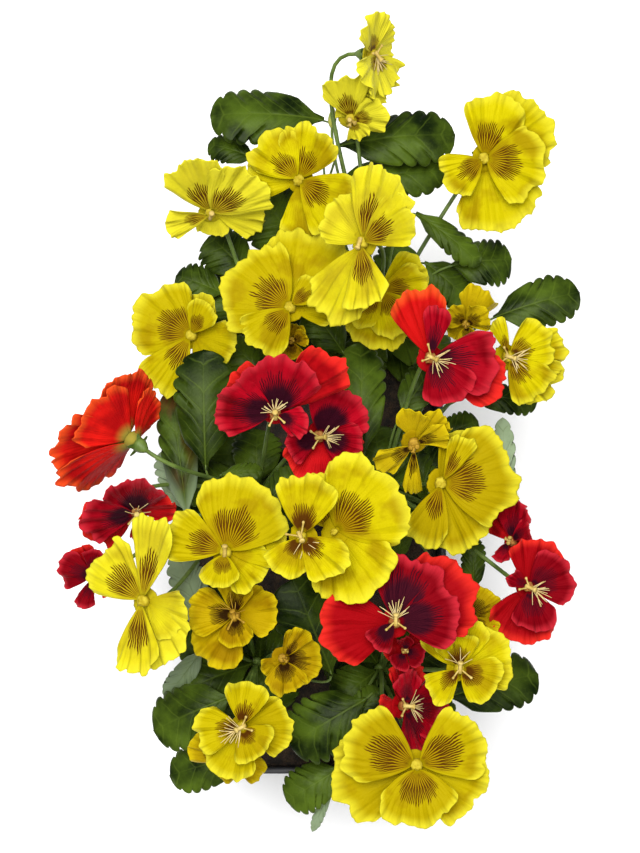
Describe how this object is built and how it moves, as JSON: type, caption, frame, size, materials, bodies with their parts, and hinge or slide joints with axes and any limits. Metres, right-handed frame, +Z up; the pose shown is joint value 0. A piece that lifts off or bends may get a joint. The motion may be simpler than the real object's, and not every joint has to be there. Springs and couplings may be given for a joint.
{
  "type": "potted pansy planter",
  "caption": "Rectangular balcony trough filled with soil, with yellow and red pansy plants in full bloom over dark green leaves.",
  "frame": {"origin": "centre of the planter's flat underside, where it rests", "axes": "+X across the planter, +Y along it away from its near end, +Z up"},
  "size_m": [0.3464, 0.5191, 0.3505],
  "materials": {
    "planter_plastic": "satin",
    "soil": "matte",
    "foliage": "satin",
    "lemon_petals": "satin",
    "golden_petals": "satin",
    "crimson_petals": "satin",
    "scarlet_petals": "satin"
  },
  "bodies": {
    "root": {"planter": "planter_plastic", "soil": "soil", "leafy_stems_a": "foliage", "leafy_stems_b": "foliage", "leafy_stems_c": "foliage", "leafy_stems_d": "foliage", "leafy_stems_e": "foliage", "leafy_stems_f": "foliage", "yellow_bloom_01": "lemon_petals", "yellow_bloom_02": "lemon_petals", "yellow_bloom_03": "lemon_petals", "yellow_bloom_04": "lemon_petals", "yellow_bloom_05": "lemon_petals", "yellow_bloom_06": "lemon_petals", "yellow_bloom_07": "lemon_petals", "yellow_bloom_08": "lemon_petals", "yellow_bloom_09": "lemon_petals", "red_bloom_01": "crimson_petals", "red_bloom_02": "crimson_petals", "red_bloom_03": "crimson_petals", "yellow_bloom_10": "golden_petals", "yellow_bloom_11": "lemon_petals", "yellow_bloom_12": "golden_petals", "yellow_bloom_13": "lemon_petals", "yellow_bloom_14": "lemon_petals", "yellow_bloom_15": "lemon_petals", "yellow_bloom_16": "lemon_petals", "red_bloom_04": "scarlet_petals", "red_bloom_05": "crimson_petals", "red_bloom_06": "crimson_petals", "yellow_bloom_17": "golden_petals", "yellow_bloom_18": "golden_petals", "yellow_bloom_19": "lemon_petals", "yellow_bloom_20": "golden_petals", "red_bloom_07": "crimson_petals", "yellow_bloom_21": "golden_petals", "yellow_bloom_22": "lemon_petals", "red_bloom_08": "crimson_petals", "yellow_bloom_23": "lemon_petals", "yellow_bloom_24": "golden_petals", "red_bloom_11": "crimson_petals", "red_bloom_09": "crimson_petals", "red_bloom_10": "crimson_petals"}
  },
  "joints": []
}
